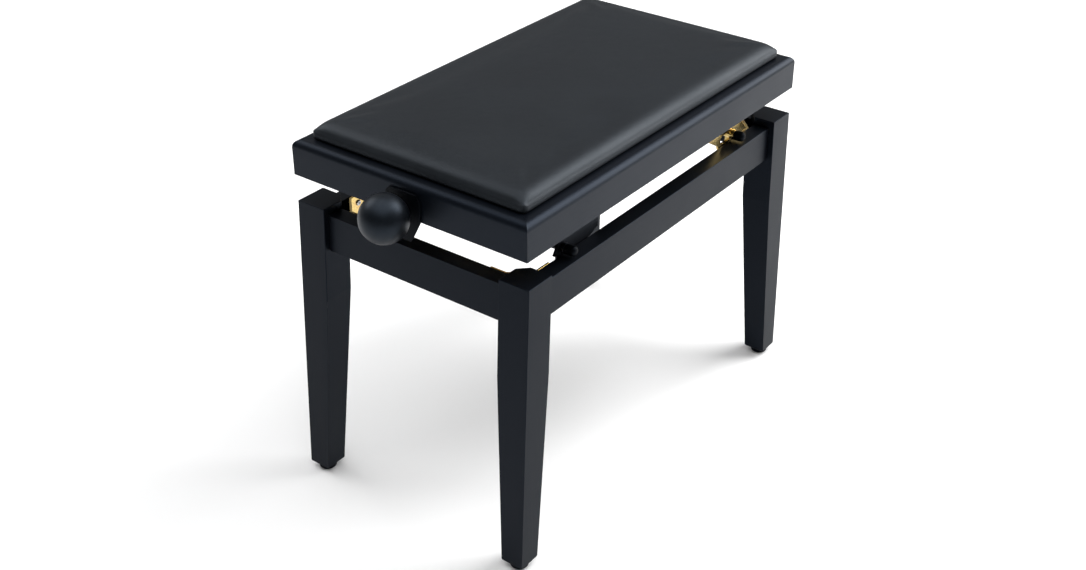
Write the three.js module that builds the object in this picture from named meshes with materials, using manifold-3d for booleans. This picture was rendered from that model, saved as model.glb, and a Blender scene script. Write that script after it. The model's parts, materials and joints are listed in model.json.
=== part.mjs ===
// Height-adjustable piano bench: a black wooden base on four tapered legs carries a padded seat
// on a scissor lift. A long screw under the seat, turned by a ball knob at one end, pulls the
// two upper crossbars of the scissor together and raises the seat.
//
// Millimetres, +Z up, floor at z = 0. X runs along the seat (knob at the -X end), Y across it,
// front is -Y. Inside the bench group, x = 0 and y = 0 are the middle of the bench.

import * as THREE from 'three';
import { mergeVertices } from 'three/addons/utils/BufferGeometryUtils.js';
import Module from 'manifold-3d';

const wasm = await Module();
wasm.setup();

// ---------------------------------------------------------------- driving dimensions

const fitGap = 0.3;            // between pieces that rest on or butt against each other

// Seat: mitred lacquered frame, plywood panel let into it, pad on top
const seatLength = 560;
const seatWidth = 330;
const seatBottom = 407.5;      // underside of the frame at the rest height
const seatSideHeight = 34;     // flat part of the side, below the rounded top edge
const seatEdgeRound = 9;
const seatRailThickness = 18;
const mitreGap = 0.1;
const panelThickness = 9;
const padInset = 16;           // pad, in from the edge of the seat
const padBoardInset = 7;       // pad board, in from the cushion's edge
const padBoardThickness = 3;

// Base: four legs and four rails
const baseLength = 555;        // at the top of the legs
const baseWidth = 331;
const legTop = 373.5;
const legSize = 40;            // square at the top
const legFootSize = 29.5;      // square at the bottom
const legTaperStart = 255;     // the two inner faces taper below this height
const legLeanX = 0.046;        // the legs lean outwards, in mm per mm of height
const legLeanY = 0.005;
const legFootChamfer = 2;
const legCornerCut = 11.5;     // cut off each leg's inner corner, beside the rails
const glideHeight = 8;
const glideRadius = 11;
const railHeight = 45;
const railThickness = 21;
const railSetback = 7.5;       // rail face behind the legs' outer faces
const railDrop = 10;           // rail top below the legs' tops

// Corner braces: bent steel strips across the inside corners, each with a bolt into its leg
const braceThickness = 2.5;
const braceHeight = 40;
const braceDrop = 0.5;         // strip's top below the rail's top
const braceClearance = 9;      // from the leg's cut corner to the strip
const braceFlange = 22;        // along each rail
const boltRadius = 4;
const boltDepth = 24;          // of the shank inside the leg
const boltHeadRadius = 7.5;
const boltHeadHeight = 5.5;

// Scissor lift: long links in two planes on each side of the bench
const pivotX = 180;            // lower and upper pivots at the rest height
const lowerPivotZ = 371.5;
const upperPivotZ = 418.5;     // also the height of the screw
const plateThickness = 3;
const linkWidth = 22;
const outerLinkFace = 104;     // outer faces of each layer, from the middle of the bench
const innerLinkFace = 100;
const seatBracketFace = 95.5;
const rodRadius = 5;
const rodEnd = 152;
const journalRadius = 5;
const pinRadius = 4;
const pinHeadRadius = 7;
const rodClearance = 0.25;     // running clearance on a rod or pin
const seatedClearance = 0.1;   // hole around a rod that is fixed in it
const openClearance = 0.8;     // at the pivots where the linkage meets the seat
const slideIn = 22;            // travel of the sliding rod and crossbar towards the middle
const slideOut = 4;            // and away from it
const capRadius = 6.3;
const capStart = 142.5;
const capEnd = 155.7;
const capEndWall = 3.3;
const capBoreClearance = 0.15;
const washerRadius = 6.4;
const washerThickness = 4.8;

// Crossbars, screw and knob
const crossbarSize = 16;
const crossbarHalfLength = seatBracketFace - plateThickness - fitGap;
const screwRadius = 6;
const screwEnd = 206;
const screwHoleClearance = 0.3;
const collarRadius = 11;
const collarLength = 8;
const collarGap = 1;
const bushRadius = 9;
const bearingPlateThickness = 2;
const knobRadius = 28;
const knobX = -311.5;
const knobInsertRadius = 8.5;
const knobInsertLength = 22;

// ---------------------------------------------------------------- derived dimensions

const seatTop = seatBottom + seatSideHeight + seatEdgeRound;
const panelBottom = seatTop - 0.4 - panelThickness;
const padBoardBottom = seatTop;
const cushionBottom = seatTop + 0.8;
const railTop = legTop - railDrop;
const railFaceX = baseLength / 2 - railSetback;
const railFaceY = baseWidth / 2 - railSetback;
const basePlateFace = railFaceY - railThickness - fitGap;
const braceTop = railTop - braceDrop;
const legInnerX = baseLength / 2 - legSize;
const legInnerY = baseWidth / 2 - legSize;
const linkSpan = [2 * pivotX, upperPivotZ - lowerPivotZ];
const linkLength = Math.hypot(linkSpan[0], linkSpan[1]);
const linkAngle = Math.atan2(linkSpan[1], linkSpan[0]);

// How far a leg's faces have moved outwards at a height
const leanX = (z) => legLeanX * (legTop - z);
const leanY = (z) => legLeanY * (legTop - z);

// The bench's box ends at the knob on the -X side and at the feet on the +X side. This shift
// puts the origin in the middle of that box.
const footReachX = baseLength / 2 + leanX(glideHeight + legFootChamfer);
const benchShiftX = (-(knobX - knobRadius) - footReachX) / 2;

// ---------------------------------------------------------------- materials

const finish = (color, roughness, metalness) =>
  new THREE.MeshStandardMaterial({ color, roughness, metalness });

const lacquer = finish(0x1f2123, 0.42, 0);
const vinyl = finish(0x1c1e20, 0.5, 0);
const paddingBoard = finish(0x101112, 0.9, 0);
const stainedPlywood = finish(0x1b1c1d, 0.8, 0);
const blackPlastic = finish(0x161718, 0.35, 0);
const blackSteel = finish(0x1d1f21, 0.45, 0);
const yellowZinc = finish(0xc8a860, 0.35, 1);
const brightZinc = finish(0xb4b6b8, 0.35, 1);

// ---------------------------------------------------------------- shapes

// A closed outline, turned anticlockwise if its points run the other way, as they do in a
// mirrored copy. Holes are drawn clockwise.
function shapeOf(points) {
  const outline = points.map(([a, b]) => new THREE.Vector2(a, b));
  if (THREE.ShapeUtils.isClockWise(outline)) outline.reverse();
  return new THREE.Shape(outline);
}

function roundHole(a, b, radius) {
  const hole = new THREE.Path();
  hole.absarc(a, b, radius, 0, 2 * Math.PI, true);
  return hole;
}

function slotHole(from, to, b, radius) {
  const hole = new THREE.Path();
  hole.absarc(to, b, radius, Math.PI / 2, -Math.PI / 2, true);
  hole.absarc(from, b, radius, -Math.PI / 2, -3 * Math.PI / 2, true);
  hole.closePath();
  return hole;
}

function extrude(shape, depth, curveSegments = 12) {
  return new THREE.ExtrudeGeometry(shape, { depth, bevelEnabled: false, curveSegments });
}

// A plate whose outline is drawn in X and Z, between two heights in Y
function plateXZ(shape, y0, y1) {
  const geometry = extrude(shape, y1 - y0);
  geometry.rotateX(Math.PI / 2);
  geometry.translate(0, y1, 0);
  return geometry;
}

// A block whose outline is drawn in X and Y, between two heights
function blockXY(shape, z0, z1) {
  const geometry = extrude(shape, z1 - z0);
  geometry.translate(0, 0, z0);
  return geometry;
}

function box([x0, x1], [y0, y1], [z0, z1]) {
  const geometry = new THREE.BoxGeometry(x1 - x0, y1 - y0, z1 - z0);
  geometry.translate((x0 + x1) / 2, (y0 + y1) / 2, (z0 + z1) / 2);
  return geometry;
}

// Round bars along Y and along X
function rodY(radius, x, z, y0, y1, sides = 24) {
  const geometry = new THREE.CylinderGeometry(radius, radius, y1 - y0, sides);
  geometry.translate(x, (y0 + y1) / 2, z);
  return geometry;
}

function rodX(radius, x0, x1, z, sides = 24) {
  const geometry = new THREE.CylinderGeometry(radius, radius, x1 - x0, sides);
  geometry.rotateZ(Math.PI / 2);
  geometry.translate((x0 + x1) / 2, 0, z);
  return geometry;
}

// A turned piece: points are [distance from the axis, place along the axis]. The lathe turns
// about Y, and the piece is then laid along X.
function turnedX(points, x, z, sides = 28) {
  const profile = points.map(([radius, along]) => new THREE.Vector2(radius, along));
  const geometry = new THREE.LatheGeometry(profile, sides);
  geometry.rotateZ(-Math.PI / 2);
  geometry.translate(x, 0, z);
  return geometry;
}

function turnedY(points, x, y, z, sides = 24) {
  const profile = points.map(([radius, along]) => new THREE.Vector2(radius, along));
  const geometry = new THREE.LatheGeometry(profile, sides);
  geometry.translate(x, y, z);
  return geometry;
}

// A square-sided post through a list of levels, each { z, x: [x0, x1], y: [y0, y1] }
function post(levels) {
  const geometry = new THREE.BoxGeometry(1, 1, 1, 1, 1, levels.length - 1);
  const position = geometry.attributes.position;
  for (let i = 0; i < position.count; i += 1) {
    const level = levels[Math.round((position.getZ(i) + 0.5) * (levels.length - 1))];
    const x = level.x[position.getX(i) < 0 ? 0 : 1];
    const y = level.y[position.getY(i) < 0 ? 0 : 1];
    position.setXYZ(i, x, y, level.z);
  }
  return geometry;
}

// ---------------------------------------------------------------- joining and cutting

function solid(geometry) {
  const bare = geometry.clone();
  bare.deleteAttribute('normal');
  bare.deleteAttribute('uv');
  const merged = mergeVertices(bare, 1e-4);
  const mesh = new wasm.Mesh({
    numProp: 3,
    vertProperties: new Float32Array(merged.attributes.position.array),
    triVerts: new Uint32Array(merged.index.array),
  });
  return new wasm.Manifold(mesh);
}

function geometryOf(manifold) {
  const mesh = manifold.getMesh();
  const geometry = new THREE.BufferGeometry();
  geometry.setAttribute('position', new THREE.BufferAttribute(mesh.vertProperties, 3));
  geometry.setIndex(new THREE.BufferAttribute(mesh.triVerts, 1));
  geometry.computeVertexNormals();
  return geometry;
}

function cut(geometry, ...tools) {
  const body = tools.reduce((left, tool) => left.subtract(solid(tool)), solid(geometry));
  return geometryOf(body);
}

function join(geometry, ...others) {
  const body = others.reduce((left, other) => left.add(solid(other)), solid(geometry));
  return geometryOf(body);
}

// ---------------------------------------------------------------- the assembly

const bench = new THREE.Group();
bench.position.x = benchShiftX;

function add(name, geometry, material) {
  const mesh = new THREE.Mesh(geometry, material);
  mesh.name = name;
  bench.add(mesh);
}

const lengthEnds = [['left', -1], ['right', 1]];
const sides = [['front', -1], ['back', 1]];

function forCorners(make) {
  for (const [side, sy] of sides) {
    for (const [end, sx] of lengthEnds) {
      make(`${side}_${end}`, sx, sy);
    }
  }
}

// Orders a pair of numbers, so that mirrored ranges still run upwards
const span = (a, b) => [Math.min(a, b), Math.max(a, b)];

// ---------------------------------------------------------------- base

// Places a piece on the bolt's line, which is level and crosses the leg's cut corner squarely.
// Distances run from the cut face towards the middle of the bench.
function alongBolt(geometry, sx, sy, distance) {
  const offset = legCornerCut / 2 - distance * Math.SQRT1_2;
  geometry.rotateZ(Math.atan2(-sx, sy));
  geometry.translate(sx * (legInnerX + offset), sy * (legInnerY + offset), braceTop - braceHeight / 2);
  return geometry;
}

// A triangular prism that takes off the leg's inner corner from the rails' underside upwards
function cornerCut(sx, sy) {
  const reach = 5;
  const x = legInnerX - reach;
  const y = legInnerY - reach;
  const side = legCornerCut + 2 * reach;
  const triangle = [[sx * x, sy * y], [sx * (x + side), sy * y], [sx * x, sy * (y + side)]];
  return blockXY(shapeOf(triangle), railTop - railHeight, legTop + reach);
}

function leg(sx, sy) {
  const section = (z, size, inset = 0) => {
    const outerX = sx * (baseLength / 2 + leanX(z));
    const outerY = sy * (baseWidth / 2 + leanY(z));
    return {
      z,
      x: span(outerX - sx * inset, outerX - sx * (size - inset)),
      y: span(outerY - sy * inset, outerY - sy * (size - inset)),
    };
  };
  const shaft = post([
    section(glideHeight, legFootSize, legFootChamfer),
    section(glideHeight + legFootChamfer, legFootSize),
    section(legTaperStart, legSize),
    section(legTop, legSize),
  ]);
  const holeDepth = boltDepth + 2;
  const hole = new THREE.CylinderGeometry(boltRadius + 0.2, boltRadius + 0.2, 2 * holeDepth, 16);
  return cut(shaft, cornerCut(sx, sy), alongBolt(hole, sx, sy, 0));
}

function glide(sx, sy) {
  const x = sx * (baseLength / 2 + leanX(glideHeight) - legFootSize / 2);
  const y = sy * (baseWidth / 2 + leanY(glideHeight) - legFootSize / 2);
  const top = glideHeight - fitGap;
  const profile = [[0, 0], [glideRadius - 2, 0], [glideRadius, 2], [glideRadius, top], [0, top]];
  const turned = turnedY(profile, 0, 0, 0, 28);
  turned.rotateX(Math.PI / 2);
  turned.translate(x, y, 0);
  return turned;
}

// A steel strip bent twice by 45 degrees, with a flange along each rail
function brace(sx, sy) {
  const railX = railFaceX - railThickness - fitGap;
  const railY = railFaceY - railThickness - fitGap;
  const diagonal = legInnerX + legInnerY + legCornerCut - braceClearance * Math.SQRT2;
  const bendX = diagonal - railY;
  const bendY = diagonal - railX;
  const t = braceThickness;
  const innerBend = t * Math.tan(Math.PI / 8);
  const outline = [
    [bendX - braceFlange, railY], [bendX, railY], [railX, bendY], [railX, bendY - braceFlange],
    [railX - t, bendY - braceFlange], [railX - t, bendY - innerBend],
    [bendX - innerBend, railY - t], [bendX - braceFlange, railY - t],
  ];
  const strip = blockXY(
    shapeOf(outline.map(([x, y]) => [sx * x, sy * y])),
    braceTop - braceHeight,
    braceTop,
  );
  const hole = new THREE.CylinderGeometry(boltRadius + 0.3, boltRadius + 0.3, 12, 16);
  return cut(strip, alongBolt(hole, sx, sy, braceClearance + t / 2));
}

function legBolt(sx, sy) {
  const headFace = braceClearance + braceThickness + fitGap;
  const shank = new THREE.CylinderGeometry(boltRadius, boltRadius, headFace + boltDepth, 16);
  const head = new THREE.CylinderGeometry(boltHeadRadius, boltHeadRadius, boltHeadHeight, 6);
  alongBolt(shank, sx, sy, (headFace + 1 - boltDepth) / 2);
  alongBolt(head, sx, sy, headFace + boltHeadHeight / 2);
  return join(shank, head);
}

forCorners((corner, sx, sy) => {
  add(`leg_${corner}`, leg(sx, sy), lacquer);
  add(`glide_${corner}`, glide(sx, sy), blackPlastic);
  add(`corner_brace_${corner}`, brace(sx, sy), yellowZinc);
  add(`leg_bolt_${corner}`, legBolt(sx, sy), brightZinc);
});

// Rails stand between the legs and lean with them
const baseRailZ = [railTop - railHeight, railTop];
for (const [side, sy] of sides) {
  const level = (z) => {
    const end = legInnerX + leanX(z) - fitGap;
    const face = railFaceY + leanY(z);
    return { z, x: [-end, end], y: span(sy * face, sy * (face - railThickness)) };
  };
  add(`rail_${side}`, post(baseRailZ.map(level)), lacquer);
}
for (const [end, sx] of lengthEnds) {
  const level = (z) => {
    const end = legInnerY + leanY(z) - fitGap;
    const face = railFaceX + leanX(z);
    return { z, x: span(sx * face, sx * (face - railThickness)), y: [-end, end] };
  };
  add(`rail_${end}`, post(baseRailZ.map(level)), lacquer);
}

// ---------------------------------------------------------------- plates on the long rails

// Outlines as [distance from the middle, height]. Each plate is screwed to the rail's inner
// face and widens above the rail. The slotted one reaches further out.
const fixedPlateOutline = [
  [150, 334], [190, 334], [190, 364], [195, 366], [179, 391], [113, 391], [113, 368], [150, 356],
];
const slottedPlateOutline = [
  [150, 334], [190, 334], [190, 365], [218, 366], [192, 391], [105, 391], [147, 366], [150, 360],
];

// Left: a round hole for the fixed rod. Right: a slot for the sliding rod.
function basePlate(sx, sy) {
  const points = sx < 0 ? fixedPlateOutline : slottedPlateOutline;
  const outline = shapeOf(points.map(([x, z]) => [sx * x, z]));
  const hole = sx < 0
    ? roundHole(-pivotX, lowerPivotZ, rodRadius + seatedClearance)
    : slotHole(pivotX - slideIn, pivotX + slideOut, lowerPivotZ, rodRadius + rodClearance);
  outline.holes.push(hole);
  const [y0, y1] = span(sy * basePlateFace, sy * (basePlateFace - plateThickness));
  return plateXZ(outline, y0, y1);
}

// The plates of the fixed end are painted like the links, and the slotted ones are zinc-plated
const plateCoating = (sx) => (sx < 0 ? blackSteel : yellowZinc);

forCorners((corner, sx, sy) => {
  add(`base_plate_${corner}`, basePlate(sx, sy), plateCoating(sx));
});

// ---------------------------------------------------------------- rods with washers and caps

// A domed cap bored for the rod's end
function rodCap(x, sy) {
  const depth = capEnd - capStart;
  const bore = rodRadius + capBoreClearance;
  const boreDepth = depth - capEndWall;
  const profile = [
    [0, depth], [3.6, depth - 0.7], [5.4, depth - 2.2], [capRadius, depth - 4.5], [capRadius, 0],
    [bore, 0], [bore, boreDepth], [0, boreDepth],
  ];
  const cap = turnedY(profile.reverse(), 0, 0, 0);
  if (sy < 0) cap.rotateX(Math.PI);
  cap.translate(x, sy * capStart, lowerPivotZ);
  return cap;
}

function rodWasher(x, sy) {
  const ring = new THREE.Shape();
  ring.absarc(x, lowerPivotZ, washerRadius, 0, 2 * Math.PI, false);
  ring.holes.push(roundHole(x, lowerPivotZ, rodRadius + capBoreClearance));
  const start = basePlateFace + fitGap + 0.2;
  const [y0, y1] = span(sy * start, sy * (start + washerThickness));
  return plateXZ(ring, y0, y1);
}

const lowerRod = (x) => rodY(rodRadius, x, lowerPivotZ, -rodEnd, rodEnd);

add('fixed_rod', lowerRod(-pivotX), blackSteel);
add('sliding_rod', lowerRod(pivotX), yellowZinc);
for (const [side, sy] of sides) {
  add(`fixed_rod_cap_${side}`, rodCap(-pivotX, sy), blackPlastic);
  add(`sliding_rod_cap_${side}`, rodCap(pivotX, sy), blackPlastic);
  add(`fixed_rod_washer_${side}`, rodWasher(-pivotX, sy), blackSteel);
  add(`sliding_rod_washer_${side}`, rodWasher(pivotX, sy), yellowZinc);
}

// ---------------------------------------------------------------- scissor links

// A flat link drawn along X from its lower pivot, then turned to its slope. A link that
// rises to the left is turned past upright.
function link(lowerX, risesRight, holes, faceY, sy) {
  const half = linkWidth / 2;
  const outline = new THREE.Shape();
  outline.absarc(linkLength, 0, half, -Math.PI / 2, Math.PI / 2, false);
  outline.absarc(0, 0, half, Math.PI / 2, 3 * Math.PI / 2, false);
  outline.holes.push(roundHole(0, 0, holes.lower));
  outline.holes.push(roundHole(linkLength / 2, 0, holes.middle));
  outline.holes.push(roundHole(linkLength, 0, holes.upper));
  const [y0, y1] = span(sy * faceY, sy * (faceY - plateThickness));
  const geometry = plateXZ(outline, y0, y1);
  geometry.rotateY(risesRight ? -linkAngle : linkAngle - Math.PI);
  geometry.translate(lowerX, 0, lowerPivotZ);
  return geometry;
}

const outerHoles = {
  lower: rodRadius + rodClearance,
  middle: pinRadius + seatedClearance,
  upper: journalRadius + rodClearance,
};
const innerHoles = {
  lower: rodRadius + seatedClearance,
  middle: pinRadius + rodClearance,
  upper: journalRadius + openClearance,
};

// A pivot pin with a head at each end, through both links where they cross
function centrePin(sy) {
  const z = (lowerPivotZ + upperPivotZ) / 2;
  const shank = [innerLinkFace - plateThickness - fitGap, outerLinkFace + fitGap];
  const headLength = 2.4;
  const profile = [
    [0, shank[0] - headLength], [pinHeadRadius, shank[0] - headLength], [pinHeadRadius, shank[0]],
    [pinRadius, shank[0]], [pinRadius, shank[1]], [pinHeadRadius, shank[1]],
    [pinHeadRadius - 0.8, shank[1] + headLength], [0, shank[1] + headLength],
  ];
  const pin = turnedY(profile, 0, 0, 0);
  if (sy < 0) pin.rotateX(Math.PI);
  pin.translate(0, 0, z);
  return pin;
}

for (const [side, sy] of sides) {
  add(`outer_link_${side}`, link(-pivotX, true, outerHoles, outerLinkFace, sy), blackSteel);
  add(`inner_link_${side}`, link(pivotX, false, innerHoles, innerLinkFace, sy), blackSteel);
  add(`centre_pin_${side}`, centrePin(sy), brightZinc);
}

// ---------------------------------------------------------------- crossbars

// A square bar with round journals at its ends and a hole for the screw
function crossbar(x, journalEnd, screwClearance) {
  const half = crossbarSize / 2;
  const bar = box(
    [x - half, x + half],
    [-crossbarHalfLength, crossbarHalfLength],
    [upperPivotZ - half, upperPivotZ + half],
  );
  const journals = rodY(journalRadius, x, upperPivotZ, -journalEnd, journalEnd);
  const hole = rodX(screwRadius + screwClearance, x - 2 * half, x + 2 * half, upperPivotZ, 28);
  return cut(join(bar, journals), hole);
}

const thrustJournalEnd = innerLinkFace + 0.6;
const nutJournalEnd = outerLinkFace + 0.8;
add('thrust_crossbar', crossbar(-pivotX, thrustJournalEnd, screwHoleClearance), yellowZinc);
add('nut_crossbar', crossbar(pivotX, nutJournalEnd, openClearance), yellowZinc);

// ---------------------------------------------------------------- seat

// The front rail of a mitred frame, along X: the outline is [inset from the outer face, height],
// and each point's inset also sets where the 45 degree mitre cuts it.
function seatRail(halfLength, halfWidth) {
  const round = seatEdgeRound;
  const outline = new THREE.Shape();
  outline.moveTo(seatRailThickness, seatBottom);
  outline.lineTo(seatRailThickness, seatTop);
  outline.lineTo(round, seatTop);
  outline.absarc(round, seatTop - round, round, Math.PI / 2, Math.PI, false);
  outline.lineTo(0, seatBottom);
  outline.closePath();
  const geometry = extrude(outline, 1, 6);
  const position = geometry.attributes.position;
  for (let i = 0; i < position.count; i += 1) {
    const inset = position.getX(i);
    const height = position.getY(i);
    const end = position.getZ(i) > 0.5 ? 1 : -1;
    const reach = halfLength - inset - mitreGap;
    position.setXYZ(i, end * reach, inset - halfWidth, height);
  }
  return geometry;
}

const frontRail = seatRail(seatLength / 2, seatWidth / 2);
const backRail = frontRail.clone().rotateZ(Math.PI);
const rightRail = seatRail(seatWidth / 2, seatLength / 2).rotateZ(Math.PI / 2);
const leftRail = rightRail.clone().rotateZ(Math.PI);
const bushHole = rodX(bushRadius, -seatLength / 2 - 5, -seatLength / 2 + 25, upperPivotZ, 28);

add('seat_rail_front', frontRail, lacquer);
add('seat_rail_back', backRail, lacquer);
add('seat_rail_right', rightRail, lacquer);
add('seat_rail_left', cut(leftRail, bushHole), lacquer);

const insideX = seatLength / 2 - seatRailThickness - fitGap;
const insideY = seatWidth / 2 - seatRailThickness - fitGap;
const padX = seatLength / 2 - padInset;
const padY = seatWidth / 2 - padInset;
const boardX = padX - padBoardInset;
const boardY = padY - padBoardInset;
add(
  'seat_panel',
  box([-insideX, insideX], [-insideY, insideY], [panelBottom, panelBottom + panelThickness]),
  stainedPlywood,
);
add(
  'pad_board',
  box([-boardX, boardX], [-boardY, boardY], [padBoardBottom, padBoardBottom + padBoardThickness]),
  paddingBoard,
);

// The pad's cross-section as [height above its underside, inset]: nearly upright at the bottom
// edge, rolled over above it and crowned in the middle
const cushionProfile = [[0, 1.6], [8, 0], [14.3, 3], [18.4, 9], [20.2, 20], [22.7, 70]];

// The cover reaches down round the pad board, which lies in a pocket in the underside
function cushion() {
  const block = post(cushionProfile.map(([height, inset]) => ({
    z: cushionBottom + height,
    x: [-padX + inset, padX - inset],
    y: [-padY + inset, padY - inset],
  })));
  const pocketX = boardX + fitGap;
  const pocketY = boardY + fitGap;
  const pocketTop = padBoardBottom + padBoardThickness + fitGap;
  const pocket = box([-pocketX, pocketX], [-pocketY, pocketY], [cushionBottom - 5, pocketTop]);
  return cut(block, pocket);
}
add('cushion', cushion(), vinyl);

// Angle brackets under the panel: the vertical leg holds a crossbar, the flange is screwed up
const seatBracketOutline = [
  [146, 0], [204, 0], [204, -18], [190, -32], [152, -32], [146, -24],
];

function seatBracket(sx, sy) {
  const top = panelBottom - fitGap;
  const outline = shapeOf(seatBracketOutline.map(([x, drop]) => [sx * x, top + drop]));
  const hole = sx < 0
    ? roundHole(-pivotX, upperPivotZ, journalRadius + seatedClearance)
    : slotHole(pivotX - slideIn, pivotX + slideOut, upperPivotZ, journalRadius + openClearance);
  outline.holes.push(hole);
  const inner = seatBracketFace - plateThickness;
  const [y0, y1] = span(sy * seatBracketFace, sy * inner);
  const flange = box(
    span(sx * 146, sx * 204),
    span(sy * seatBracketFace, sy * (inner - 20)),
    [top - plateThickness, top],
  );
  return join(plateXZ(outline, y0, y1), flange);
}

forCorners((corner, sx, sy) => {
  add(`seat_bracket_${corner}`, seatBracket(sx, sy), plateCoating(sx));
});

// A bush lines the hole in the knob-end rail, behind a plate that hangs below the seat
function screwBush() {
  const inner = screwRadius + screwHoleClearance;
  const outer = bushRadius - 0.2;
  const length = seatRailThickness;
  const profile = [[inner, 0], [outer, 0], [outer, length], [inner, length], [inner, 0]];
  return turnedX(profile, -seatLength / 2, upperPivotZ);
}
add('screw_bush', screwBush(), blackPlastic);

// Outline as [across the bench, above the screw]
const bearingPlateOutline = [
  [-24, 15], [-18, 21], [18, 21], [24, 15], [24, -11], [10, -38], [-10, -38], [-24, -11],
];

function bearingPlate() {
  const outline = shapeOf(bearingPlateOutline);
  outline.holes.push(roundHole(0, 0, screwRadius + screwHoleClearance));
  const geometry = extrude(outline, bearingPlateThickness);
  geometry.rotateX(Math.PI / 2);
  geometry.rotateZ(Math.PI / 2);
  geometry.translate(-seatLength / 2 - fitGap - bearingPlateThickness, 0, upperPivotZ);
  return geometry;
}
add('bearing_plate', bearingPlate(), blackPlastic);

// ---------------------------------------------------------------- screw, collars and knob

const knobFace = knobX + Math.sqrt(knobRadius ** 2 - knobInsertRadius ** 2);
const knobBoreEnd = knobFace - knobInsertLength;
const screwStart = knobBoreEnd + 2;
add('lift_screw', rodX(screwRadius, screwStart, screwEnd, upperPivotZ, 28), brightZinc);

// A plain ring on the screw, from one place along X to another
function screwRing(outer, x0, x1) {
  const inner = screwRadius + 0.15;
  const profile = [[inner, x0], [outer, x0], [outer, x1], [inner, x1], [inner, x0]];
  return turnedX(profile, 0, upperPivotZ);
}

const collar = (x) => screwRing(collarRadius, x - collarLength / 2, x + collarLength / 2);
const collarOffset = (crossbarSize + collarLength) / 2 + collarGap;
add('collar_outer', collar(-pivotX - collarOffset), brightZinc);
add('collar_inner', collar(-pivotX + collarOffset), brightZinc);

// The ball is bored from its inner side for a metal insert that grips the screw
function knobBall() {
  const mouth = Math.asin(knobInsertRadius / knobRadius);
  const steps = 20;
  const profile = [];
  for (let i = 0; i <= steps; i += 1) {
    const angle = Math.PI - (Math.PI - mouth) * (i / steps);
    profile.push([knobRadius * Math.sin(angle), knobRadius * Math.cos(angle)]);
  }
  profile[0][0] = 0;
  profile.push([knobInsertRadius, knobBoreEnd - knobX], [0, knobBoreEnd - knobX]);
  return turnedX(profile, knobX, upperPivotZ, 36);
}

add('knob', knobBall(), blackPlastic);
add('knob_insert', screwRing(knobInsertRadius - 0.2, knobBoreEnd + fitGap, knobFace), brightZinc);

const part = new THREE.Group();
part.add(bench);
export default part;
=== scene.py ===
import json
import math

import bpy
from mathutils import Matrix, Vector


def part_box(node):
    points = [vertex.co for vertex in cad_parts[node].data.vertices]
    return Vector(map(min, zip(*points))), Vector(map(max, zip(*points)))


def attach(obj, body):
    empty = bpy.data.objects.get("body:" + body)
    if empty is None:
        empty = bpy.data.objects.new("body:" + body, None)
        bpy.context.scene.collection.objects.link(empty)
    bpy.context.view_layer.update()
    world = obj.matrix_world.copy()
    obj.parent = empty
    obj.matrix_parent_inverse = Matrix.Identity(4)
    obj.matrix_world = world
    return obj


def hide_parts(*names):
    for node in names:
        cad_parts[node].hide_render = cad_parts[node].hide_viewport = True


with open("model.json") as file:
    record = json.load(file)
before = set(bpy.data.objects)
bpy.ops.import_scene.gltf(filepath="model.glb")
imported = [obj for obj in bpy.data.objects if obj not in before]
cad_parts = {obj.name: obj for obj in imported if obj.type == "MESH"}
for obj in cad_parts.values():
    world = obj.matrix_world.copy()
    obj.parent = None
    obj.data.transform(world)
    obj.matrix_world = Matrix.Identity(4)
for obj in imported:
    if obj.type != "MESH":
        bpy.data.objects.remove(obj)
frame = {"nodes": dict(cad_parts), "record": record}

# A height-adjustable piano bench. The CAD nodes keep their shapes and get softened edges and
# materials. New pieces stand for the cushion, the knob and the screw, and wood screws are added.
# Metres, +Z up, the knob at the -X end, front at -Y.

NODES = frame["nodes"]
SLOTS = {entry["node"]: entry["material_slot"] for entry in frame["record"]["subparts"]}
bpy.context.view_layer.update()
MM = 0.001

CORNERS = [("front", "left"), ("front", "right"), ("back", "left"), ("back", "right")]


def middle(node):
    low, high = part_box(node)
    return (Vector(low) + Vector(high)) / 2


# ------------------------------------------------------------------ material graphs

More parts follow.
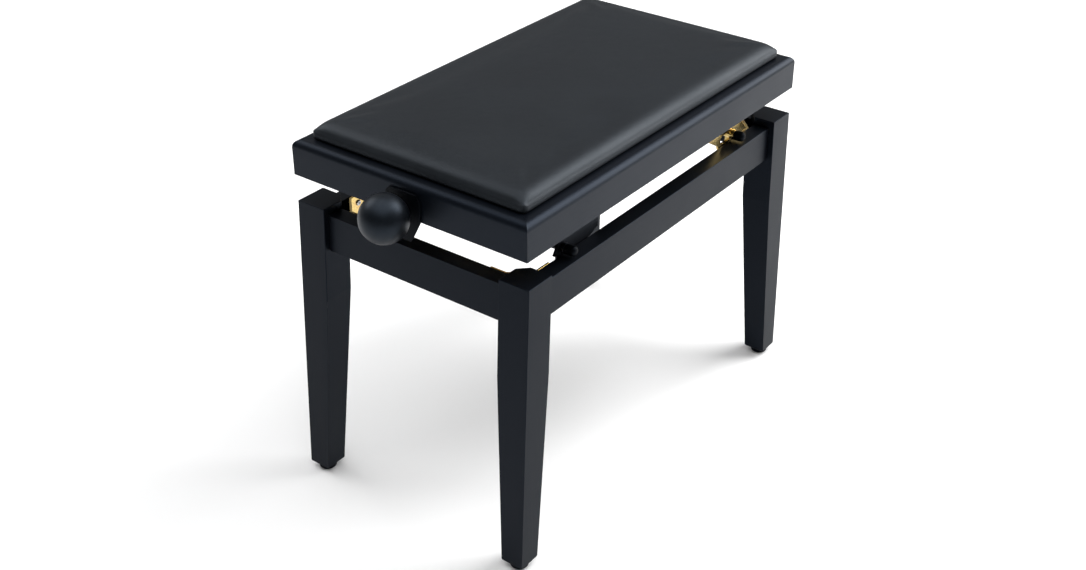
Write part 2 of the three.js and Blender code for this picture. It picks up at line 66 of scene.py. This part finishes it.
class Graph:
    """The node tree of one material, with short calls for adding and wiring its nodes."""

    def __init__(self, name, **values):
        self.material = bpy.data.materials.new(name)
        self.material.use_nodes = True
        self.tree = self.material.node_tree
        self.shader = self.tree.nodes["Principled BSDF"]
        for socket, value in values.items():
            self.shader.inputs[socket.replace("_", " ")].default_value = value
        self.place = self.add("ShaderNodeTexCoord").outputs["Object"]

    def add(self, kind, inputs=None, **settings):
        node = self.tree.nodes.new(kind)
        for name, value in settings.items():
            setattr(node, name, value)
        for name, value in (inputs or {}).items():
            self.feed(node, name, value)
        return node

    def feed(self, node, name, value):
        if isinstance(value, bpy.types.NodeSocket):
            self.tree.links.new(value, node.inputs[name])
        else:
            node.inputs[name].default_value = value

    def scaled(self, x, y, z):
        node = self.add("ShaderNodeMapping", {"Vector": self.place, "Scale": (x, y, z)})
        return node.outputs["Vector"]

    def noise(self, scale, place=None, detail=3.0, roughness=0.5, distortion=0.0):
        inputs = {
            "Vector": place or self.place, "Scale": scale, "Detail": detail,
            "Roughness": roughness, "Distortion": distortion,
        }
        return self.add("ShaderNodeTexNoise", inputs).outputs["Fac"]

    def cells(self, scale, place=None, feature="DISTANCE_TO_EDGE"):
        inputs = {"Vector": place or self.place, "Scale": scale}
        return self.add("ShaderNodeTexVoronoi", inputs, feature=feature).outputs["Distance"]

    def bands(self, scale, direction, distortion=0.0):
        inputs = {"Vector": self.place, "Scale": scale, "Distortion": distortion}
        return self.add("ShaderNodeTexWave", inputs, bands_direction=direction).outputs["Fac"]

    def rescaled(self, value, low, high, start=0.3, end=0.7):
        inputs = {"Value": value, "From Min": start, "From Max": end, "To Min": low, "To Max": high}
        return self.add("ShaderNodeMapRange", inputs).outputs["Result"]

    def math(self, operation, a, b):
        node = self.add("ShaderNodeMath", operation=operation)
        self.feed(node, 0, a)
        self.feed(node, 1, b)
        return node.outputs["Value"]

    def ramp(self, value, *stops):
        node = self.add("ShaderNodeValToRGB", {"Fac": value})
        points = node.color_ramp.elements
        while len(points) < len(stops):
            points.new(0.5)
        for point, (position, colour) in zip(points, stops):
            point.position = position
            point.color = (*colour, 1.0)
        return node.outputs["Color"]

    def worn(self, colour, worn_colour, start=0.54, end=0.62):
        """Blends towards a colour on convex edges."""
        edge = self.add("ShaderNodeNewGeometry").outputs["Pointiness"]
        node = self.add("ShaderNodeMixRGB")
        self.feed(node, "Fac", self.rescaled(edge, 0.0, 0.35, start, end))
        self.feed(node, "Color1", colour)
        self.feed(node, "Color2", (*worn_colour, 1.0))
        return node.outputs["Color"]

    def bump(self, height, distance, normal=None):
        inputs = {"Height": height, "Distance": distance}
        if normal is not None:
            inputs["Normal"] = normal
        return self.add("ShaderNodeBump", inputs).outputs["Normal"]

    def finish(self, colour, roughness, normal):
        self.feed(self.shader, "Base Color", colour)
        self.feed(self.shader, "Roughness", roughness)
        self.feed(self.shader, "Normal", normal)
        return self.material


# ------------------------------------------------------------------ materials

def grain_place(graph, axis, across, along):
    """Coordinates stretched so that a noise runs in streaks along one axis."""
    scales = [along if index == axis else across for index in range(3)]
    return graph.scaled(*scales)


def lacquer(place, axis, shine):
    """Black satin lacquer over wood whose grain runs along an axis."""
    graph = Graph(
        f"{place}_lacquer_{'xyz'[axis]}", Specular_IOR_Level=shine, Specular_Tint=(0.5, 0.68, 1.0, 1.0))
    grain = graph.noise(1.0, grain_place(graph, axis, 620.0, 14.0), detail=4.0)
    cloud = graph.noise(16.0, detail=3.0)
    orange_peel = graph.noise(520.0, detail=1.0)
    tone = graph.math("ADD", graph.math("MULTIPLY", grain, 0.35), graph.math("MULTIPLY", cloud, 0.65))
    colour = graph.ramp(tone, (0.3, (0.0014, 0.0019, 0.0032)), (0.7, (0.0026, 0.0034, 0.0052)))
    colour = graph.worn(colour, (0.016, 0.017, 0.018))
    roughness = graph.rescaled(tone, 0.37, 0.45)
    normal = graph.bump(grain, 0.00003)
    normal = graph.bump(orange_peel, 0.000012, normal)
    return graph.finish(colour, roughness, normal)


def leatherette():
    """Smooth black leatherette: small pebbles with fine creases between them."""
    graph = Graph("black_vinyl", Specular_IOR_Level=0.3, Specular_Tint=(0.74, 0.86, 1.0, 1.0))
    warp = graph.noise(60.0, detail=2.0)
    pebbles = graph.cells(1150.0)
    creases = graph.rescaled(pebbles, 0.0, 1.0, 0.0, 0.22)
    cloud = graph.noise(11.0, detail=4.0)
    colour = graph.ramp(cloud, (0.3, (0.0052, 0.0062, 0.0078)), (0.7, (0.0074, 0.0086, 0.0104)))
    shine = graph.math("MULTIPLY", creases, 0.05)
    roughness = graph.math("SUBTRACT", graph.rescaled(cloud, 0.44, 0.52), shine)
    normal = graph.bump(creases, 0.000035)
    normal = graph.bump(warp, 0.00025, normal)
    return graph.finish(colour, roughness, normal)


def lining():
    """Woven black cloth over the pad's board."""
    graph = Graph("pad_lining", Specular_IOR_Level=0.2)
    weave = graph.math("MULTIPLY", graph.bands(420.0, "X"), graph.bands(420.0, "Y"))
    colour = graph.ramp(weave, (0.0, (0.003, 0.003, 0.0032)), (1.0, (0.014, 0.014, 0.015)))
    roughness = graph.rescaled(weave, 0.95, 0.8, 0.0, 1.0)
    return graph.finish(colour, roughness, graph.bump(weave, 0.0002))


def stained_plywood():
    """The panel's black-stained plywood, with open pores in its face grain along the seat."""
    graph = Graph("plywood", Specular_IOR_Level=0.2)
    streaks = graph.noise(1.0, grain_place(graph, 0, 160.0, 5.0), detail=5.0, distortion=0.6)
    pores = graph.noise(1.0, grain_place(graph, 0, 1500.0, 60.0), detail=2.0)
    tone = graph.math("ADD", graph.math("MULTIPLY", streaks, 0.75), graph.math("MULTIPLY", pores, 0.25))
    dark, mid, light = (0.006, 0.0058, 0.0056), (0.0125, 0.0118, 0.0112), (0.022, 0.020, 0.018)
    colour = graph.ramp(tone, (0.3, dark), (0.52, mid), (0.72, light))
    return graph.finish(colour, graph.rescaled(tone, 0.85, 0.68), graph.bump(tone, 0.00015))


def moulded_plastic(name, low, high, pebble, specular):
    """Black moulded plastic with a fine spark-eroded texture."""
    graph = Graph(name, Specular_IOR_Level=specular, Specular_Tint=(0.62, 0.78, 1.0, 1.0))
    pebbles = graph.noise(1400.0, detail=2.0)
    cloud = graph.noise(45.0, detail=3.0)
    colour = graph.ramp(cloud, (0.3, (0.0010, 0.0013, 0.0020)), (0.7, (0.0020, 0.0024, 0.0034)))
    normal = graph.bump(pebbles, pebble)
    normal = graph.bump(cloud, 0.00004, normal)
    return graph.finish(colour, graph.rescaled(cloud, low, high), normal)


def painted_steel():
    """Smooth black paint on pressed steel."""
    graph = Graph("black_steel", Specular_IOR_Level=0.2, Specular_Tint=(0.56, 0.72, 1.0, 1.0))
    cloud = graph.noise(90.0, detail=3.0)
    orange_peel = graph.noise(900.0, detail=1.0)
    colour = graph.ramp(cloud, (0.3, (0.0012, 0.0015, 0.0021)), (0.7, (0.0028, 0.0032, 0.0042)))
    colour = graph.worn(colour, (0.03, 0.031, 0.033))
    return graph.finish(colour, graph.rescaled(cloud, 0.3, 0.4), graph.bump(orange_peel, 0.00001))


def plated_steel(name, shades, low, high):
    """Zinc-plated pressed steel: cloudy passivation over fine rolling streaks."""
    graph = Graph(name, Metallic=1.0)
    cloud = graph.noise(55.0, detail=4.0, distortion=0.8)
    streaks = graph.noise(1.0, grain_place(graph, 0, 900.0, 60.0), detail=3.0)
    spangle = graph.cells(240.0, feature="F1")
    tone = graph.math("ADD", graph.math("MULTIPLY", cloud, 0.8), graph.math("MULTIPLY", spangle, 0.2))
    stops = [(0.25 + 0.5 * step / (len(shades) - 1), shade) for step, shade in enumerate(shades)]
    colour = graph.ramp(tone, *stops)
    roughness = graph.math("ADD", graph.rescaled(cloud, low, high), graph.math("MULTIPLY", streaks, 0.08))
    normal = graph.bump(streaks, 0.00002)
    return graph.finish(colour, roughness, graph.bump(spangle, 0.00002, normal))


def floor_material():
    graph = Graph("pale_floor", Specular_IOR_Level=0.1)
    cloud = graph.noise(3.0, detail=4.0)
    colour = graph.ramp(cloud, (0.3, (0.95, 0.95, 0.95)), (0.7, (0.97, 0.97, 0.97)))
    return graph.finish(colour, graph.rescaled(cloud, 0.85, 0.95), graph.bump(cloud, 0.0002))


BASE_LACQUER = [lacquer("base", axis, 0.13) for axis in range(3)]
SEAT_LACQUER = [lacquer("seat", axis, 0.18) for axis in range(3)]
MATERIALS = {
    "black_vinyl": leatherette(),
    "pad_lining": lining(),
    "plywood": stained_plywood(),
    "black_plastic": moulded_plastic("black_plastic", 0.38, 0.5, 0.00003, 0.06),
    "knob_plastic": moulded_plastic("knob_plastic", 0.38, 0.46, 0.000008, 0.32),
    "black_steel": painted_steel(),
    "yellow_zinc": plated_steel(
        "yellow_zinc", [(0.74, 0.47, 0.13), (0.66, 0.50, 0.20), (0.60, 0.36, 0.16)], 0.14, 0.26),
    "bright_zinc": plated_steel(
        "bright_zinc", [(0.66, 0.67, 0.70), (0.56, 0.57, 0.60), (0.48, 0.49, 0.52)], 0.24, 0.4),
}


def material_for(node):
    """The slot's material. Lacquered wood has its grain along the longest side."""
    if SLOTS[node] != "black_lacquer":
        return MATERIALS[SLOTS[node]]
    low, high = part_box(node)
    sizes = [high[axis] - low[axis] for axis in range(3)]
    coats = SEAT_LACQUER if node.startswith("seat_rail") else BASE_LACQUER
    return coats[sizes.index(max(sizes))]


# ------------------------------------------------------------------ CAD nodes

# Node name beginnings, each with the radius of its softened edges in mm and the smallest
# angle that counts as an edge, in degrees
EDGE_STYLES = [
    ("leg_bolt", 0.5, 30), ("leg_", 1.1, 2), ("seat_rail", 0.7, 35), ("rail_", 1.0, 30),
    ("seat_panel", 0.5, 30), ("pad_board", 0.6, 30), ("glide", 0.6, 35), ("corner_brace", 0.5, 35),
    ("base_plate", 0.6, 30), ("seat_bracket", 0.6, 30), ("bearing_plate", 0.5, 30),
    ("outer_link", 0.5, 30), ("inner_link", 0.5, 30), ("nut_crossbar", 0.7, 35),
    ("thrust_crossbar", 0.7, 35),
]
DEFAULT_STYLE = (0.3, 40)


def edge_style(node):
    for start, width, angle in EDGE_STYLES:
        if node.startswith(start):
            return width, angle
    return DEFAULT_STYLE


def soften(obj, width, angle):
    """Rounded, smoothly shaded edges, made with modifiers only."""
    weld = obj.modifiers.new("weld", "WELD")
    weld.merge_threshold = 1e-6
    bevel = obj.modifiers.new("bevel", "BEVEL")
    bevel.width = width * MM
    bevel.segments = 3
    bevel.limit_method = "ANGLE"
    bevel.angle_limit = math.radians(angle)
    normals = obj.modifiers.new("normals", "WEIGHTED_NORMAL")
    normals.keep_sharp = False


def dress_nodes():
    for name, obj in NODES.items():
        obj.data.materials.clear()
        obj.data.materials.append(material_for(name))
        soften(obj, *edge_style(name))


# ------------------------------------------------------------------ new pieces

def make_piece(name, points, faces, slot, body, *nodes):
    """A mesh piece that takes a slot's material, rides on a body and stands for CAD nodes."""
    mesh = bpy.data.meshes.new(name)
    mesh.from_pydata(points, [], faces)
    mesh.polygons.foreach_set("use_smooth", [True] * len(mesh.polygons))
    mesh.materials.append(MATERIALS[slot])
    mesh.update()
    obj = bpy.data.objects.new(name, mesh)
    bpy.context.collection.objects.link(obj)
    if nodes:
        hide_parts(*nodes)
    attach(obj, body)
    return obj


def ring_faces(rings, sides):
    """Quads between rings of points, with one flat face at each end."""
    faces = []
    for ring in range(rings - 1):
        for side in range(sides):
            after = (side + 1) % sides
            a, b = ring * sides, (ring + 1) * sides
            faces.append((a + side, a + after, b + after, b + side))
    faces.append(tuple(reversed(range(sides))))
    faces.append(tuple(range((rings - 1) * sides, rings * sides)))
    return faces


def round_bar(stations, radius_at, sides, centre):
    """Points and faces of a bar along X, whose radius depends on place and angle."""
    points = []
    for x in stations:
        for side in range(sides):
            angle = 2 * math.pi * side / sides
            radius = radius_at(x, angle)
            points.append((x, centre.y + radius * math.cos(angle), centre.z + radius * math.sin(angle)))
    return points, ring_faces(len(stations), sides)


# Lift screw: plain shank with a coarse thread at the far end
THREAD_PITCH = 3 * MM
THREAD_DEPTH = 0.9 * MM
THREAD_LENGTH = 128 * MM
THREAD_STEPS = 10          # rings along one turn


def thread_radius(place, outer):
    """Trapezoidal thread: a share of one turn gives the radius."""
    share = place % 1.0
    flank = 0.18
    if share < flank:
        depth = 1 - share / flank
    elif share < 0.5:
        depth = 0
    elif share < 0.5 + flank:
        depth = (share - 0.5) / flank
    else:
        depth = 1
    return outer - depth * THREAD_DEPTH


def make_screw():
    low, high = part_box("lift_screw")
    centre = middle("lift_screw")
    outer = (high[2] - low[2]) / 2
    start = high[0] - THREAD_LENGTH
    chamfer = 1.2 * MM
    plain = [low[0], low[0] + 0.5 * MM, start - 4 * MM, start]
    count = int(THREAD_LENGTH / THREAD_PITCH * THREAD_STEPS)
    threaded = [start + THREAD_LENGTH * (step + 1) / count for step in range(count)]

    def radius_at(x, angle):
        if x <= start:
            return outer - (0.5 * MM if x == low[0] else 0)
        ease = min(1.0, (x - start) / THREAD_PITCH)
        thread = thread_radius((x - start) / THREAD_PITCH - angle / (2 * math.pi), outer)
        end_cut = max(0.0, chamfer - (high[0] - x))
        return min(outer - ease * (outer - thread), outer - end_cut)

    points, faces = round_bar(plain + threaded, radius_at, 32, centre)
    return make_piece("threaded_screw", points, faces, "bright_zinc", "screw", "lift_screw")


# Knob: a smooth ball with a flat, slightly raised rim round its metal insert
KNOB_STEPS = 56


def make_knob():
    low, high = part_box("knob")
    centre = middle("knob")
    radius = (high[2] - low[2]) / 2
    ball_x = low[0] + radius
    mouth = (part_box("knob_insert")[1][2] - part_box("knob_insert")[0][2]) / 2 + 0.2 * MM
    rim = mouth + 1.6 * MM
    rim_angle = math.asin(rim / radius)
    profile = []
    for step in range(KNOB_STEPS + 1):
        angle = math.pi - (math.pi - rim_angle) * step / KNOB_STEPS
        profile.append((ball_x + radius * math.cos(angle), max(radius * math.sin(angle), 0.05 * MM)))
    face = high[0] - 0.1 * MM
    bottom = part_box("knob_insert")[0][0] + 0.5 * MM
    profile += [
        (face - 0.3 * MM, rim - 0.2 * MM), (face, rim - 0.7 * MM), (face, mouth + 0.3 * MM),
        (face - 0.4 * MM, mouth), (bottom, mouth),
    ]
    sides = 72
    points = []
    for x, reach in profile:
        for side in range(sides):
            angle = 2 * math.pi * side / sides
            points.append((x, centre.y + reach * math.cos(angle), centre.z + reach * math.sin(angle)))
    return make_piece("ball_knob", points, ring_faces(len(profile), sides), "knob_plastic", "screw", "knob")


# Wood screws: pan heads with a cross recess
HEAD_RADIUS = 3.6 * MM
HEAD_HEIGHT = 2.0 * MM
HEAD_SIDES = 32


def recess_reach(angle):
    """Outline of the cross: four arms, narrow between them."""
    arm = abs(math.cos(2 * angle)) ** 6
    return HEAD_RADIUS * (0.15 + 0.37 * arm)


def head_points(centre, normal):
    """Rings of a screw head that stands on a face."""
    turn = Vector(normal).to_track_quat("Z", "Y").to_matrix()
    rings = []
    for share, height in ((1.0, 0.0), (1.0, 0.35), (0.93, 0.62), (0.78, 0.85), (0.62, 0.97)):
        rings.append([(share * HEAD_RADIUS, height)] * HEAD_SIDES)
    angles = [2 * math.pi * side / HEAD_SIDES for side in range(HEAD_SIDES)]
    rings.append([(recess_reach(angle) + 0.1 * MM, 1.0) for angle in angles])
    rings.append([(recess_reach(angle), 0.9) for angle in angles])
    rings.append([(recess_reach(angle) * 0.75, 0.35) for angle in angles])
    points = []
    for ring in rings:
        for angle, (reach, height) in zip(angles, ring):
            local = Vector((reach * math.cos(angle), reach * math.sin(angle), height * HEAD_HEIGHT))
            points.append(tuple(Vector(centre) + turn @ local))
    return points, len(rings)


def make_heads(name, places, body):
    """One piece holding several screw heads, each given as (centre, outward normal)."""
    points, faces = [], []
    for centre, normal in places:
        head, rings = head_points(centre, normal)
        start = len(points)
        points += head
        faces += [tuple(start + index for index in face) for face in ring_faces(rings, HEAD_SIDES)]
    return make_piece(name, points, faces, "bright_zinc", body)


def box_side(low, high, axis, sign):
    """Where a box ends along an axis, on its plus or minus side."""
    return high[axis] if sign > 0 else low[axis]


def make_corner_screws(side, end):
    """Screws of one corner: base plate to rail, brace to both rails, bracket to panel."""
    sx = 1 if end == "right" else -1
    sy = 1 if side == "back" else -1
    corner = f"{side}_{end}"
    pivot = middle("sliding_rod" if end == "right" else "fixed_rod")

    low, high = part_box(f"base_plate_{corner}")
    face = box_side(low, high, 1, -sy)
    offsets = [(-20, -30), (0, -30), (-10, -19)]
    places = [((pivot.x + sx * dx * MM, face, pivot.z + dz * MM), (0, -sy, 0)) for dx, dz in offsets]
    make_heads(f"base_plate_screws_{corner}", places, "base")

    low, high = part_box(f"corner_brace_{corner}")
    thickness = 2.5 * MM
    inset = 10 * MM
    near_x = box_side(low, high, 0, -sx) + sx * inset
    near_y = box_side(low, high, 1, -sy) + sy * inset
    inner_x = box_side(low, high, 0, sx) - sx * thickness
    inner_y = box_side(low, high, 1, sy) - sy * thickness
    places = []
    for share in (0.25, 0.75):
        z = low[2] + share * (high[2] - low[2])
        places.append(((near_x, inner_y, z), (0, -sy, 0)))
        places.append(((inner_x, near_y, z), (-sx, 0, 0)))
    make_heads(f"brace_screws_{corner}", places, "base")

    low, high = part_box(f"seat_bracket_{corner}")
    flange = 3 * MM
    y = box_side(low, high, 1, -sy) + sy * 9 * MM
    centre = middle(f"seat_bracket_{corner}")
    places = [((centre.x + dx * MM, y, high[2] - flange), (0, 0, -1)) for dx in (-18, 18)]
    make_heads(f"bracket_screws_{corner}", places, "seat")


# ------------------------------------------------------------------ cushion

EDGE_HEIGHT = 8 * MM       # of the widest line above the cushion's underside
ROLL = 20 * MM             # how far in the rounded edge above that line reaches
CROWN = 2.6 * MM           # extra height in the middle
PULL = 0.3 * MM            # how far the sides pull in between the corners
CORNER_RADIUS = 5 * MM     # in plan
CUSHION_CELLS = (116, 70)
ROLL_CELLS = 9             # of them across each rounded edge
SWELL_FRAMES = 20
SWELL_CAP = 1.2 * MM
# The cover below the widest line, down and round the pad board, as (inset, height) in mm
UNDERSIDE = [(0.0, 8.0), (-0.9, 4.4), (-1.1, 1.4), (0.4, 0.1), (6.0, 0.3), (6.6, 2.5)]


def top_station(near, cells, half):
    """Inset and rise of the top sheet, a number of cells in from one side."""
    if near <= ROLL_CELLS:
        angle = math.pi / 2 * near / ROLL_CELLS
        return ROLL * (1 - math.cos(angle)), math.sin(angle)
    share = (near - ROLL_CELLS) / (cells / 2 - ROLL_CELLS)
    return ROLL + (half - ROLL) * share, 1.0


def bottom_station(near, cells, half):
    """Inset of the underside, a number of cells in from one side."""
    if near < len(UNDERSIDE):
        return UNDERSIDE[near][0] * MM
    first = len(UNDERSIDE) - 1
    start = UNDERSIDE[-1][0] * MM
    return start + (half - start) * (near - first) / (cells / 2 - first)


def rounded_corner(x, y, half):
    """Moves a point in plan, so that the sheet's square corners become round."""
    a = (abs(x) - (half.x - CORNER_RADIUS)) / CORNER_RADIUS
    b = (abs(y) - (half.y - CORNER_RADIUS)) / CORNER_RADIUS
    if a <= 0 or b <= 0:
        return x, y
    round_a = a * math.sqrt(1 - b * b / 2)
    round_b = b * math.sqrt(1 - a * a / 2)
    return (
        math.copysign(half.x - CORNER_RADIUS + CORNER_RADIUS * round_a, x),
        math.copysign(half.y - CORNER_RADIUS + CORNER_RADIUS * round_b, y),
    )


def cushion_point(sheet, i, j, half, height):
    """A point of the top or bottom sheet, from the middle of the cushion's underside."""
    cells_x, cells_y = CUSHION_CELLS
    near_i, near_j = min(i, cells_x - i), min(j, cells_y - j)
    if sheet == "top":
        inset_x, rise_x = top_station(near_i, cells_x, half.x)
        inset_y, rise_y = top_station(near_j, cells_y, half.y)
    else:
        inset_x = bottom_station(near_i, cells_x, half.x)
        inset_y = bottom_station(near_j, cells_y, half.y)
    x = math.copysign(half.x - inset_x, i - cells_x / 2)
    y = math.copysign(half.y - inset_y, j - cells_y / 2)
    middle_x, middle_y = 1 - (x / half.x) ** 2, 1 - (y / half.y) ** 2
    if sheet == "top":
        roll = height - EDGE_HEIGHT - CROWN
        z = EDGE_HEIGHT + roll * rise_x * rise_y + CROWN * math.sqrt(middle_x * middle_y)
    else:
        z = UNDERSIDE[min(near_i, near_j, len(UNDERSIDE) - 1)][1] * MM
    x -= math.copysign(PULL * middle_y * (x / half.x) ** 4, x)
    y -= math.copysign(PULL * middle_x * (y / half.y) ** 4, y)
    x, y = rounded_corner(x, y, half)
    return x, y, z


def cushion_mesh():
    """A closed cover: a top and a bottom sheet that meet along the widest line."""
    low, high = (Vector(corner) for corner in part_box("cushion"))
    half = (high - low) / 2
    origin = Vector((low.x + half.x, low.y + half.y, low.z))
    cells_x, cells_y = CUSHION_CELLS
    points, index_of = [], {}
    for sheet in ("top", "bottom"):
        for i in range(cells_x + 1):
            for j in range(cells_y + 1):
                rim = i in (0, cells_x) or j in (0, cells_y)
                if sheet == "bottom" and rim:
                    index_of[sheet, i, j] = index_of["top", i, j]
                    continue
                index_of[sheet, i, j] = len(points)
                points.append(origin + Vector(cushion_point(sheet, i, j, half, high.z - low.z)))
    faces = []
    for i in range(cells_x):
        for j in range(cells_y):
            square = [(i, j), (i + 1, j), (i + 1, j + 1), (i, j + 1)]
            faces.append(tuple(index_of["top", a, b] for a, b in square))
            faces.append(tuple(index_of["bottom", a, b] for a, b in reversed(square)))
    return points, faces


def inflate(obj):
    """Lets the cover swell under pressure like filled cloth, then caps how far it has moved."""
    rest = [point.co.copy() for point in obj.data.vertices]
    cloth = obj.modifiers.new("cloth", "CLOTH")
    cloth.settings.use_pressure = True
    cloth.settings.uniform_pressure_force = 4
    cloth.settings.tension_stiffness = 40
    cloth.settings.compression_stiffness = 40
    cloth.settings.bending_stiffness = 2
    cloth.settings.effector_weights.gravity = 0
    held = obj.vertex_groups.new(name="held")
    edge_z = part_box("cushion")[0][2] + EDGE_HEIGHT
    held.add([i for i, place in enumerate(rest) if place.z < edge_z + 0.1 * MM], 1.0, "REPLACE")
    cloth.settings.vertex_group_mass = "held"
    cloth.settings.pin_stiffness = 50
    for number in range(1, SWELL_FRAMES + 1):
        bpy.context.scene.frame_set(number)
    shaped = obj.evaluated_get(bpy.context.evaluated_depsgraph_get()).to_mesh()
    swelled = [point.co.copy() for point in shaped.vertices]
    obj.modifiers.remove(cloth)
    obj.vertex_groups.remove(held)
    bpy.context.scene.frame_set(1)
    for point, start, end in zip(obj.data.vertices, rest, swelled):
        move = end - start
        if move.length > SWELL_CAP:
            move *= SWELL_CAP / move.length
        point.co = start + move


def make_cushion():
    points, faces = cushion_mesh()
    obj = make_piece("seat_cushion", points, faces, "black_vinyl", "seat", "cushion")
    inflate(obj)
    smooth = obj.modifiers.new("smooth", "SUBSURF")
    smooth.levels = smooth.render_levels = 1


# ------------------------------------------------------------------ camera, light and floor

CAMERA_PLACE = (-1.24877, -0.92303, 1.14009)
CAMERA_TURN = (59.7377, -0.3741, -53.4652)     # degrees
CAMERA_LENS = 47.518                           # mm, on a 36 mm wide sensor
CAMERA_SHIFT = (-0.0070, -0.0230)

# Name, place, point aimed at, width and height, power in watts
SOFT_BOXES = [
    ("key", (2.05, -1.48, 2.05), (0.0, 0.0, 0.45), (2.0, 3.2), 145),
    ("left_fill", (-0.4, 2.3, 2.2), (0.0, 0.0, 0.45), (1.8, 1.4), 26),
    ("overhead", (-1.0, -0.4, 4.3), (-1.0, -0.4, 0.0), (5.0, 5.0), 172),
]
# Direction of the darkest part of the room
DARK_SIDE = (-0.7, -0.51, 0.5)
FLOOR_HALF = 8.0


def make_camera():
    data = bpy.data.cameras.new("camera")
    data.sensor_width = 36
    data.lens = CAMERA_LENS
    data.shift_x, data.shift_y = CAMERA_SHIFT
    camera = bpy.data.objects.new("camera", data)
    camera.location = CAMERA_PLACE
    camera.rotation_euler = [math.radians(angle) for angle in CAMERA_TURN]
    bpy.context.collection.objects.link(camera)
    bpy.context.scene.camera = camera


def make_soft_box(name, place, target, size, power):
    data = bpy.data.lights.new(name, "AREA")
    data.shape = "RECTANGLE"
    data.size, data.size_y = size
    data.energy = power
    light = bpy.data.objects.new(name, data)
    light.location = place
    light.rotation_euler = (Vector(target) - Vector(place)).to_track_quat("-Z", "Y").to_euler()
    bpy.context.collection.objects.link(light)


def light_walls(tree, background):
    """The room gets darker towards the side the camera stands on."""
    place = tree.nodes.new("ShaderNodeTexCoord").outputs["Generated"]
    side = tree.nodes.new("ShaderNodeVectorMath")
    side.operation = "DOT_PRODUCT"
    side.inputs[1].default_value = DARK_SIDE
    strength = tree.nodes.new("ShaderNodeMapRange")
    for name, value in zip(("From Min", "From Max", "To Min", "To Max"), (-0.6, 0.9, 0.34, 0.04)):
        strength.inputs[name].default_value = value
    tree.links.new(place, side.inputs[0])
    tree.links.new(side.outputs["Value"], strength.inputs["Value"])
    tree.links.new(strength.outputs["Result"], background.inputs["Strength"])


def make_studio():
    world = bpy.data.worlds.new("studio")
    world.use_nodes = True
    background = world.node_tree.nodes["Background"]
    background.inputs["Color"].default_value = (0.97, 0.985, 1.0, 1.0)
    light_walls(world.node_tree, background)
    bpy.context.scene.world = world
    bpy.context.scene.view_settings.view_transform = "Standard"
    for soft_box in SOFT_BOXES:
        make_soft_box(*soft_box)
    half = FLOOR_HALF
    mesh = bpy.data.meshes.new("floor")
    corners = [(-half, -half, 0), (half, -half, 0), (half, half, 0), (-half, half, 0)]
    mesh.from_pydata(corners, [], [(0, 1, 2, 3)])
    mesh.materials.append(floor_material())
    floor = bpy.data.objects.new("floor", mesh)
    bpy.context.collection.objects.link(floor)


# ------------------------------------------------------------------ the scene

make_camera()
make_studio()
dress_nodes()
make_screw()
make_knob()
make_cushion()
for side, end in CORNERS:
    make_corner_screws(side, end)
